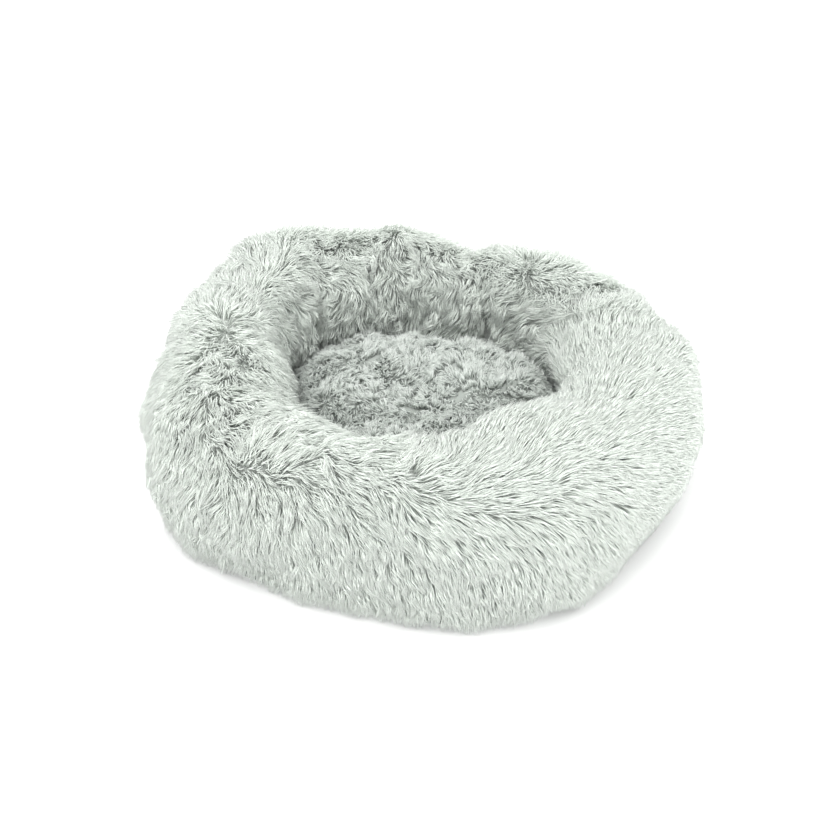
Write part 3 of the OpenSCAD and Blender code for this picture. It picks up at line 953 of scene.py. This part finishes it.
class PETBED_OT_rim(bpy.types.Operator):
    """Build the rim's four padded plush panels, its inner sack and its filling"""

    bl_idname = "petbed.rim"
    bl_label = "Rim"

    def execute(self, context):
        inset = settings().shape.skin_inset
        a_step = 1.6
        a_deg = np.arange(0, 360, a_step)
        f_deg = np.linspace(-60, 225, 76)
        a, f = np.meshgrid(np.radians(a_deg), np.radians(f_deg), indexing="ij")
        points = rim_point(a, f, inset)
        _, _, out = rim_axes(a, f, inset)
        flat = points.reshape(-1, 3)
        bumps = (0.0030 * noise(flat, 0.16, 1) + 0.0015 * noise(flat, 0.07, 2)).reshape(a.shape)
        bumps = bumps - curve_round(SAG, a) * np.maximum(np.sin(f), 0)
        points = points + out * (bumps - fold_depth(a, f))[..., None]
        points[..., 2] = np.maximum(points[..., 2], 0.0044)
        skin = new_object("rim_skin", grid_mesh("rim_skin", points, True))
        edge = np.zeros(a.shape)
        edge[:, :2] = 1
        edge[:, -2:] = 1
        for seam in SEAMS:
            off = np.abs((a_deg - seam + 180) % 360 - 180)
            near = off < 1.0
            edge[near] = np.maximum(edge[near], 0.5)
        settle(skin, 4.0, 0.005, edge.ravel())
        SKINS["rim"] = BVHTree.FromObject(skin, context.evaluated_depsgraph_get())
        points = get_points(skin.data).reshape(*a.shape, 3)
        bpy.data.objects.remove(skin)
        for panel, (first, last) in PANELS.items():
            rows = np.arange(round(first / a_step), round(last / a_step) + 1) % len(a_deg)
            name = f"rim_panel_{panel}"
            piece = new_object(name, grid_mesh(name, points[rows], False))
            wall(piece, 0.0018)
            smooth(piece)
            finish_piece(piece, "bed", "rim_plush", MATERIALS["plush backing"])
            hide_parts(f"rim_cover_{panel}")
        around = slice(None, None, 3)
        inner = points[around, ::2]
        out = out[around, ::2]
        for name, node, depth, slot, material in (
                ("rim_sack", "rim_liner", 0.0030, "nonwoven_liner", "nonwoven"),
                ("rim_stuffing", "rim_filling", 0.0055, "fibre_fill", "fibre fill")):
            sunk = inner - out * depth
            sunk[..., 2] = np.maximum(sunk[..., 2], 0.0148 + depth * 0.1)
            closed = np.concatenate([sunk, sunk[:, :1]], 1)
            piece = new_object(name, grid_mesh(name, closed, True))
            weld(piece, 1e-6)
            if node == "rim_liner":
                wall(piece, 0.0008)
            smooth(piece)
            finish_piece(piece, "bed", slot, MATERIALS[material])
            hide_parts(node)
        return {"FINISHED"}


class PETBED_OT_rim_pile(bpy.types.Operator):
    """Grow the rim's long pile, combed in locks"""

    bl_idname = "petbed.rim_pile"
    bl_label = "Rim pile"

    def execute(self, context):
        grow_rim(SKINS["rim"])
        return {"FINISHED"}


class PETBED_OT_cushion(bpy.types.Operator):
    """Build the loose cushion's top cover, under cover and filling"""

    bl_idname = "petbed.cushion"
    bl_label = "Cushion"

    def execute(self, context):
        inset = settings().shape.cushion_inset
        a_deg = np.arange(0, 360, 3)
        f_deg = np.linspace(-86, 86, 59)
        middle = len(f_deg) // 2
        a, f = np.meshgrid(np.radians(a_deg), np.radians(f_deg), indexing="ij")
        points = cushion_point(a, f, np.where(f > 0, inset, 0.004))
        flat = points.reshape(-1, 3)
        bumps = (0.0045 * noise(flat, 0.09, 3) + 0.002 * noise(flat, 0.04, 4)).reshape(a.shape)
        points[..., 2] += bumps * np.sin(f)
        points[..., 2] = np.maximum(points[..., 2], 0.0185)
        low = points[:, 0].mean(0)
        high = points[:, -1].mean(0)
        skin = new_object("cushion_skin", grid_mesh("cushion_skin", points, True, low, high))
        edge = np.zeros(a.shape)
        edge[:, middle] = 1
        edge[:, middle - 1:middle + 2:2] = 0.5
        settle(skin, 4.0, 0.005, np.concatenate([edge.ravel(), [0, 0]]))
        SKINS["cushion"] = BVHTree.FromObject(skin, context.evaluated_depsgraph_get())
        flat = get_points(skin.data)
        flat[:, 2] = np.maximum(flat[:, 2], 0.0165)
        bpy.data.objects.remove(skin)
        points, (low, high) = flat[:-2].reshape(*a.shape, 3), flat[-2:]
        core = np.array([*centre(), CUSHION_MIDDLE])
        for name, node, part, poles, slot, material in (
                ("cushion_top", "cushion_top_cover", points[:, middle:], (None, high), "cushion_plush",
                 "cushion backing with painted shade"),
                ("cushion_under", "cushion_under_cover", points[:, :middle + 1], (low, None),
                 "cushion_fabric", "cushion fabric")):
            piece = new_object(name, grid_mesh(name, part, True, *poles))
            wall(piece, 0.0012)
            smooth(piece)
            finish_piece(piece, "cushion", slot, MATERIALS[material])
            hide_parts(node)
        shrink = 0.965
        piece = new_object("cushion_stuffing", grid_mesh(
            "cushion_stuffing", core + (points - core) * shrink, True, core + (low - core) * shrink,
            core + (high - core) * shrink))
        smooth(piece)
        finish_piece(piece, "cushion", "fibre_fill", MATERIALS["fibre fill"])
        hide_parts("cushion_filling")
        return {"FINISHED"}


class PETBED_OT_cushion_pile(bpy.types.Operator):
    """Grow the cushion's shorter, curlier pile"""

    bl_idname = "petbed.cushion_pile"
    bl_label = "Cushion pile"

    def execute(self, context):
        grow_cushion(SKINS["cushion"])
        return {"FINISHED"}


# ---------------------------------------------------------------- the base

BASE_LOW = 1.4 * MM
BASE_TOP = 2.4 * MM
FLOOR_TOP = 15.5 * MM
SLOT_HALF_L = 156 * MM
SLOT_HALF_W = 6.3 * MM
HEM_W = 9 * MM
HEM_TOP = 4.2 * MM
BINDING_W = 3 * MM


def flat_edge(a, f_deg, grow):
    """Points of the level outline that the tube has at angle f, moved outwards by grow."""
    half = (outer_at(a) - neck_at(a)) / 2
    r = (outer_at(a) + neck_at(a)) / 2 + half * puff(np.cos(np.radians(f_deg)), 0.85) + grow
    cx, cy = centre()
    return np.stack([cx + r * np.cos(a), cy + r * np.sin(a)], -1)


def disc(name, f_deg, grow, z, rings, ripple, seed):
    """A level sheet inside the outline at angle f, with slight ripples."""
    a = np.radians(np.arange(0, 360, 3))
    edge = flat_edge(a, f_deg, grow)
    cx, cy = centre()
    middle = np.array([cx, cy])
    share = np.linspace(1, 1 / rings, rings)
    flat = middle + (edge[:, None] - middle) * share[None, :, None]
    points = np.concatenate([flat, np.full((*flat.shape[:2], 1), z)], -1)
    rise = noise(points.reshape(-1, 3), 0.05, seed).reshape(points.shape[:2])
    points[..., 2] += ripple * rise * (share < 1)
    return new_object(name, grid_mesh(name, points, True, None, (cx, cy, z)))


class PETBED_OT_floor(bpy.types.Operator):
    """Build the well's floor lining and the wadding under it"""

    bl_idname = "petbed.floor"
    bl_label = "Floor"

    def execute(self, context):
        lining = disc("floor_lining", 225, -0.0004, FLOOR_TOP - 0.0002, 24, 0.00015, 51)
        size = spans(lining)
        wall(lining, 0.0008)
        smooth(lining)
        finish_piece(lining, "bed", "floor_fabric", MATERIALS["floor lining"])
        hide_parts("floor_panel")
        wadding = rounded_copy("base_wadding", "wadding_pad", 0.003)
        finish_piece(wadding, "bed", "fibre_fill", MATERIALS["fibre fill"])
        return {"FINISHED"}


def stitch_model():
    """One stitch of thread 3 mm long, along X."""
    bpy.ops.object.select_all(action="DESELECT")
    bpy.ops.mesh.primitive_cylinder_add(vertices=6, radius=0.00028, depth=0.0030, end_fill_type="NGON",
                                        rotation=(0, math.pi / 2, 0))
    stitch = bpy.context.object
    bpy.ops.object.transform_apply(location=True, rotation=True, scale=True)
    bpy.ops.object.mode_set(mode="EDIT")
    bpy.ops.mesh.select_all(action="SELECT")
    bpy.ops.mesh.bisect(plane_co=(-0.0010, 0, 0), plane_no=(1, 0, 0))
    bpy.ops.mesh.select_all(action="SELECT")
    bpy.ops.mesh.bisect(plane_co=(0.0010, 0, 0), plane_no=(1, 0, 0))
    bpy.ops.object.mode_set(mode="OBJECT")
    co = get_points(stitch.data)
    ends = np.abs(co[:, 0]) > 0.0012
    co[ends, 1:] *= 0.45
    co[ends, 2] += 0.0003
    set_points(stitch.data, co)
    return model_of(stitch)


def stitch_line(a, b, z, pitch=0.0042):
    """Places and ways of stitches from a to b."""
    a, b = np.array(a, float), np.array(b, float)
    count = int(np.linalg.norm(b - a) / pitch)
    t = (np.arange(count) + 0.5)[:, None] / count
    flat = a + (b - a) * t
    places = np.concatenate([flat, np.full((count, 1), z)], 1)
    return places, np.tile([*(b - a), 0], (count, 1))


class PETBED_OT_base(bpy.types.Operator):
    """Build the two base panels with their hems, the binding and the stitching"""

    bl_idname = "petbed.base"
    bl_label = "Base"

    def execute(self, context):
        cx, cy = centre()
        for side, half in ((-1, "front"), (1, "rear")):
            beyond = SLOT_HALF_L + np.arange(1, 24) * 0.006
            xs = np.concatenate([-beyond[::-1], np.linspace(-SLOT_HALF_L, SLOT_HALF_L, 53), beyond])
            ys = np.concatenate([[0, SLOT_HALF_W], SLOT_HALF_W + np.arange(1, 50) * 0.0057])
            ys = np.sort(side * ys)
            x, y = np.meshgrid(xs, ys, indexing="ij")
            a = np.arctan2(y - cy, x - cx)
            edge = flat_edge(a, -60, 0.0005)
            reach = np.hypot(edge[..., 0] - cx, edge[..., 1] - cy)
            r = np.hypot(x - cx, y - cy)
            out = r > reach
            share = np.where(out, reach / np.maximum(r, 1e-9), 1)
            px, py = cx + (x - cx) * share, cy + (y - cy) * share
            flat = np.stack([px, py, np.full(x.shape, BASE_TOP)], -1)
            flat[..., 2] += 0.00012 * noise(flat.reshape(-1, 3), 0.03, 61).reshape(x.shape) * ~out
            name = f"base_cloth_{half}"
            panel = new_object(name, grid_mesh(name, flat, False))
            outside = out.ravel()
            work = bmesh.new()
            work.from_mesh(panel.data)
            gone = []
            for face in work.faces:
                middle = face.calc_center_median()
                in_slot = abs(middle.x) < SLOT_HALF_L and abs(middle.y) < SLOT_HALF_W
                if in_slot or all(outside[v.index] for v in face.verts):
                    gone.append(face)
            bmesh.ops.delete(work, geom=gone, context="FACES")
            work.to_mesh(panel.data)
            work.free()
            size = spans(panel)
            wall(panel, BASE_TOP - BASE_LOW)
            bpy.ops.mesh.primitive_cube_add(size=1, location=(
                0, side * (SLOT_HALF_W + HEM_W / 2), (BASE_TOP + HEM_TOP) / 2 - 0.00025))
            hem = context.object
            hem.scale = (2 * SLOT_HALF_L, HEM_W, HEM_TOP - BASE_TOP + 0.0005)
            only(hem)
            bpy.ops.object.transform_apply(location=True, rotation=True, scale=True)
            roll = hem.modifiers.new("Roll", "BEVEL")
            roll.width = 0.0008
            roll.segments = 3
            bpy.ops.object.modifier_apply(modifier="Roll")
            panel = join([panel, hem])
            bpy.ops.object.shade_smooth_by_angle(angle=math.radians(40))
            finish_piece(panel, "bed", "base_fabric", MATERIALS["base fabric"])
            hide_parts(f"base_panel_{half}")
        a = np.radians(np.arange(0, 360, 2))
        line = flat_edge(a, -60, BINDING_W / 2)
        around = np.radians(np.arange(0, 361, 30))
        outward = unit(line - np.array([cx, cy]))
        width = BINDING_W / 2 + 0.0006
        points = np.concatenate([
            line[:, None] + outward[:, None] * (width * np.cos(around))[None, :, None],
            np.broadcast_to(0.0019 + 0.0009 * np.sin(around)[None, :, None], (len(a), len(around), 1))], -1)
        points = points[:, :-1]
        closed = np.concatenate([points, points[:, :1]], 1)
        tape = new_object("base_edge_tape", grid_mesh("base_edge_tape", closed, True))
        weld(tape, 1e-7)
        smooth(tape)
        finish_piece(tape, "bed", "binding_tape", MATERIALS["binding tape"])
        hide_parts("base_binding")
        places, ways = [], []
        ring = flat_edge(np.linspace(0, TAU, 372, endpoint=False), -60, -0.0030)
        places.append(np.concatenate([ring, np.full((len(ring), 1), BASE_LOW - 0.0001)], 1))
        ways.append(np.concatenate([np.roll(ring, -1, 0) - ring, np.zeros((len(ring), 1))], 1))
        for side in (-1, 1):
            for off in (0.0018, HEM_W - 0.0018):
                y = side * (SLOT_HALF_W + off)
                p, w = stitch_line((-SLOT_HALF_L, y), (SLOT_HALF_L, y), BASE_LOW - 0.0001)
                places.append(p)
                ways.append(w)
        places, ways = np.concatenate(places), np.concatenate(ways)
        up = np.tile([0, 0, 1.0], (len(places), 1))
        seams = new_object("base_stitching", copies("base_stitching", stitch_model(), places, ways, up))
        smooth(seams)
        finish_piece(seams, "bed", "binding_tape", MATERIALS["stitch thread"])
        return {"FINISHED"}


class PETBED_OT_dots(bpy.types.Operator):
    """Build the anti-slip dots under the base, and the blank care label"""

    bl_idname = "petbed.dots"
    bl_label = "Anti-slip dots and label"

    def execute(self, context):
        for half in ("front", "rear"):
            node = f"anti_slip_dots_{half}"
            source = get_points(bpy.data.objects[node].data)
            cells = np.unique(np.round(dot_centres(source), 4), axis=0)
            places = np.concatenate([cells, np.zeros((len(cells), 1))], 1)
            across = np.tile([1.0, 0, 0], (len(places), 1))
            up = np.tile([0, 0, 1.0], (len(places), 1))
            name = f"rubber_dots_{half}"
            piece = new_object(name, copies(name, dot_model(), places, across, up))
            only(piece)
            bpy.ops.object.shade_smooth_by_angle(angle=math.radians(50))
            finish_piece(piece, "bed", "anti_slip_rubber", MATERIALS["dot rubber"])
            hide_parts(node)
        low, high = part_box("care_label")
        x, y = np.meshgrid(np.linspace(low[0], high[0], 23), np.linspace(low[1], high[1], 14), indexing="ij")
        wave = 0.00012 * np.sin((x - low[0]) * 260) * np.sin((y - low[1]) * 170)
        points = np.stack([x, y, np.full(x.shape, high[2] - 0.0001) + wave - 0.00012], -1)
        label = new_object("blank_label", grid_mesh("blank_label", points, False))
        wall(label, 0.0003)
        smooth(label)
        finish_piece(label, "bed", "label_satin", MATERIALS["label satin"])
        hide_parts("care_label")
        y0, y1, z = low[1] + 0.001, high[1] - 0.001, low[2] - 0.0001
        p, w = stitch_line((low[0] + 0.002, y0), (low[0] + 0.002, y1), z)
        q, v = stitch_line((high[0] - 0.002, y0), (high[0] - 0.002, y1), z)
        up = np.tile([0, 0, 1.0], (len(p) + len(q), 1))
        seams = new_object("label_stitching", copies(
            "label_stitching", stitch_model(), np.concatenate([p, q]), np.concatenate([w, v]), up))
        smooth(seams)
        finish_piece(seams, "bed", "binding_tape", MATERIALS["stitch thread"])
        return {"FINISHED"}


def dot_centres(points):
    """The centre of the dot that each point belongs to, on the dots' staggered grid."""
    pitch = 30 * MM
    row_gap = pitch * math.sqrt(3) / 2
    row = np.round(points[:, 1] / row_gap)
    offset = (np.abs(row) % 2) / 2
    column = np.round(points[:, 0] / pitch - offset)
    return np.stack([(column + offset) * pitch, row * row_gap], -1)


def dot_model():
    """One domed dot, its flat face down."""
    bpy.ops.object.select_all(action="DESELECT")
    bpy.ops.mesh.primitive_circle_add(vertices=14, radius=0.0040, fill_type="NGON", location=(0, 0, 0.0017))
    dot = bpy.context.object
    bpy.ops.object.mode_set(mode="EDIT")
    bpy.ops.mesh.select_all(action="SELECT")
    bpy.ops.mesh.flip_normals()
    for drop, scale in ((-0.0010, 0.985), (-0.00045, 0.86), (-0.00025, 0.72)):
        bpy.ops.mesh.extrude_region_move(TRANSFORM_OT_translate={"value": (0, 0, drop)})
        bpy.ops.transform.resize(value=(scale, scale, 1))
    bpy.ops.object.mode_set(mode="OBJECT")
    return model_of(dot)


# ---------------------------------------------------------------- the zip

TOOTH_Z = 4.5 * MM
ROW_OUT = 3.4 * MM
TOOTH_PITCH = 4 * MM
CHAIN_HALF_L = 125 * MM
TEETH = 61
TAPE_W = 14 * MM


def tooth_model():
    """One zip tooth: a rounded block with a waist, its head towards +Y."""
    bpy.ops.object.select_all(action="DESELECT")
    bpy.ops.mesh.primitive_cube_add(size=1, location=(0.0009, 0.0012, 0))
    tooth = bpy.context.object
    tooth.scale = (0.0018, 0.0026, 0.0016)
    only(tooth)
    bpy.ops.object.transform_apply(location=True, rotation=True, scale=True)
    bpy.ops.object.mode_set(mode="EDIT")
    bpy.ops.mesh.select_all(action="SELECT")
    bpy.ops.mesh.bevel(offset=0.00028, segments=1, affect="EDGES")
    bpy.ops.mesh.select_all(action="SELECT")
    bpy.ops.mesh.bisect(plane_co=(0, 0.0011, 0), plane_no=(0, 1, 0))
    bpy.ops.object.mode_set(mode="OBJECT")
    co = get_points(tooth.data)
    waist = np.abs(co[:, 1] - 0.0011) < 1e-5
    co[waist, 0] = 0.0009 + (co[waist, 0] - 0.0009) * 0.62
    set_points(tooth.data, co)
    return model_of(tooth)


class PETBED_OT_zip(bpy.types.Operator):
    """Build the zip's tapes, teeth and end stops"""

    bl_idname = "petbed.zip"
    bl_label = "Zip"

    def execute(self, context):
        for side, half in ((-1, "front"), (1, "rear")):
            x, y = np.meshgrid(np.linspace(-SLOT_HALF_L, SLOT_HALF_L, 105),
                               np.sort(side * np.linspace(ROW_OUT, ROW_OUT + TAPE_W, 8)), indexing="ij")
            points = np.stack([x, y, 0.0048 + 0.00004 * np.sin(x * 500)], -1)
            tape = new_object(f"tape_{half}", grid_mesh(f"tape_{half}", points, False))
            wall(tape, 0.0006)
            smooth(tape)
            finish_piece(tape, "bed", "zip_tape", MATERIALS["zip tape"])
            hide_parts(f"zip_tape_{half}")
            start = -CHAIN_HALF_L + TOOTH_PITCH * (0.25 if side > 0 else 0.75)
            first = start + np.arange(TEETH + 1) * TOOTH_PITCH
            base = np.stack([first if side < 0 else first + 0.0018,
                             np.full(len(first), side * (ROW_OUT - 0.0004)),
                             np.full(len(first), TOOTH_Z)], -1)
            along = np.tile([-float(side), 0, 0], (len(first), 1))
            up = np.tile([0, 0, 1.0], (len(first), 1))
            teeth = new_object(f"teeth_{half}", copies(f"teeth_{half}", tooth_model(), base, along, up))
            bpy.ops.object.select_all(action="DESELECT")
            bpy.ops.mesh.primitive_cylinder_add(
                vertices=12, radius=0.0009, depth=2 * CHAIN_HALF_L, rotation=(0, math.pi / 2, 0),
                location=(0, side * (ROW_OUT - 0.0004), TOOTH_Z))
            cord = context.object
            only(cord)
            bpy.ops.object.transform_apply(location=True, rotation=True, scale=True)
            round_end = cord.modifiers.new("End", "BEVEL")
            round_end.width = 0.0003
            round_end.limit_method = "ANGLE"
            round_end.angle_limit = math.radians(60)
            bpy.ops.object.modifier_apply(modifier="End")
            teeth = join([teeth, cord])
            bpy.ops.object.shade_smooth_by_angle(angle=math.radians(35))
            finish_piece(teeth, "bed", "zip_teeth", MATERIALS["zip teeth"])
            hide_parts(f"zip_teeth_{half}")
        for end in ("closed", "open"):
            stop = rounded_copy(f"zip_stop_{end}_end", f"stop_{end}", 0.0005)
            finish_piece(stop, "bed", "zip_metal", MATERIALS["zip metal"])
        return {"FINISHED"}


class PETBED_OT_slider(bpy.types.Operator):
    """Build the zip's slider and its pull"""

    bl_idname = "petbed.slider"
    bl_label = "Zip slider and pull"

    def execute(self, context):
        slider = rounded_copy("zip_slider", "slider_body", 0.0002)
        finish_piece(slider, "slider", "zip_metal", MATERIALS["zip metal"])
        pull = rounded_copy("zip_pull", "pull_tab", 0.00018)
        finish_piece(pull, "pull", "zip_metal", MATERIALS["zip metal"])
        return {"FINISHED"}


FLOOR_SIZE = 14
SKY_STRENGTH = 1.45
SENSOR_WIDTH = 36
# The lamps: name, place, size in metres and power in watts, and the point that they all shine at
LAMPS = (("key", (2.3, -0.8, 1.0), 1.8, 18), ("top", (-0.7, -0.8, 2.3), 2.0, 24))
LIT_POINT = (0, 0, 0.1)


class PETBED_OT_stage(bpy.types.Operator):
    """Set up the floor, the soft studio light and the camera"""

    bl_idname = "petbed.stage"
    bl_label = "Stage"

    def execute(self, context):
        look = settings().stage
        bpy.ops.mesh.primitive_plane_add(size=FLOOR_SIZE, location=(0, 0, 0))
        floor = context.object
        floor.name = "floor"
        material, nodes, links, shader = new_material("pale floor", 0.9, Specular_IOR_Level=0.1)
        shader.inputs["Base Color"].default_value = (0.97, 0.97, 0.97, 1)
        clear = nodes.new("ShaderNodeBsdfTransparent")
        side = nodes.new("ShaderNodeNewGeometry")
        path = nodes.new("ShaderNodeLightPath")
        # Light comes up through the floor to what lies just over it, so that the underside can be seen
        close = math_node(nodes, links, "LESS_THAN", path.outputs["Ray Length"], look.near_floor)
        open_floor = math_node(nodes, links, "MAXIMUM", close, side.outputs["Backfacing"])
        mix = nodes.new("ShaderNodeMixShader")
        links.new(open_floor, mix.inputs[0])
        links.new(shader.outputs[0], mix.inputs[1])
        links.new(clear.outputs[0], mix.inputs[2])
        links.new(mix.outputs[0], nodes["Material Output"].inputs["Surface"])
        floor.data.materials.append(material)
        world = bpy.data.worlds.new("studio")
        world.use_nodes = True
        world.node_tree.nodes["Background"].inputs["Color"].default_value = (1, 1, 1, 1)
        world.node_tree.nodes["Background"].inputs["Strength"].default_value = SKY_STRENGTH
        context.scene.world = world
        for name, place, size, power in LAMPS:
            lamp = bpy.data.lights.new(name, "AREA")
            lamp.size = size
            lamp.energy = power
            holder = bpy.data.objects.new(name, lamp)
            context.scene.collection.objects.link(holder)
            holder.location = place
            way = Vector(LIT_POINT) - Vector(place)
            holder.rotation_euler = way.to_track_quat("-Z", "Y").to_euler()
        camera = bpy.data.objects.new("camera", bpy.data.cameras.new("camera"))
        context.scene.collection.objects.link(camera)
        camera.data.sensor_width = SENSOR_WIDTH
        camera.data.lens = SENSOR_WIDTH / 2 / math.tan(look.view_angle / 2)
        aim = Vector(look.aim)
        back = Vector((0, -math.cos(look.elevation), math.sin(look.elevation)))
        camera.location = aim + back * look.distance
        camera.rotation_euler = (math.pi / 2 - look.elevation, 0, 0)
        context.scene.camera = camera
        context.scene.view_settings.view_transform = "Standard"
        return {"FINISHED"}


class PETBED_PT_panel(bpy.types.Panel):
    """The bed's building steps"""

    bl_label = "Plush pet bed"
    bl_idname = "PETBED_PT_panel"
    bl_space_type = "VIEW_3D"
    bl_region_type = "UI"
    bl_category = "Pet bed"

    def draw(self, context):
        for step in STEPS:
            self.layout.operator(step.bl_idname)


STEPS = (PETBED_OT_stage, PETBED_OT_rim, PETBED_OT_rim_pile, PETBED_OT_cushion, PETBED_OT_cushion_pile,
         PETBED_OT_floor, PETBED_OT_base, PETBED_OT_dots, PETBED_OT_zip, PETBED_OT_slider)
CLASSES = (BedShape, PlushLook, StageLook, PetBed, *STEPS, PETBED_PT_panel)


def register():
    for item in CLASSES:
        bpy.utils.register_class(item)
    bpy.types.Scene.pet_bed = PointerProperty(type=PetBed)


def unregister():
    del bpy.types.Scene.pet_bed
    for item in reversed(CLASSES):
        bpy.utils.unregister_class(item)


def main():
    register()
    make_materials()
    for step in STEPS:
        group, name = step.bl_idname.split(".")
        getattr(getattr(bpy.ops, group), name)()


if __name__ == "__main__":
    main()
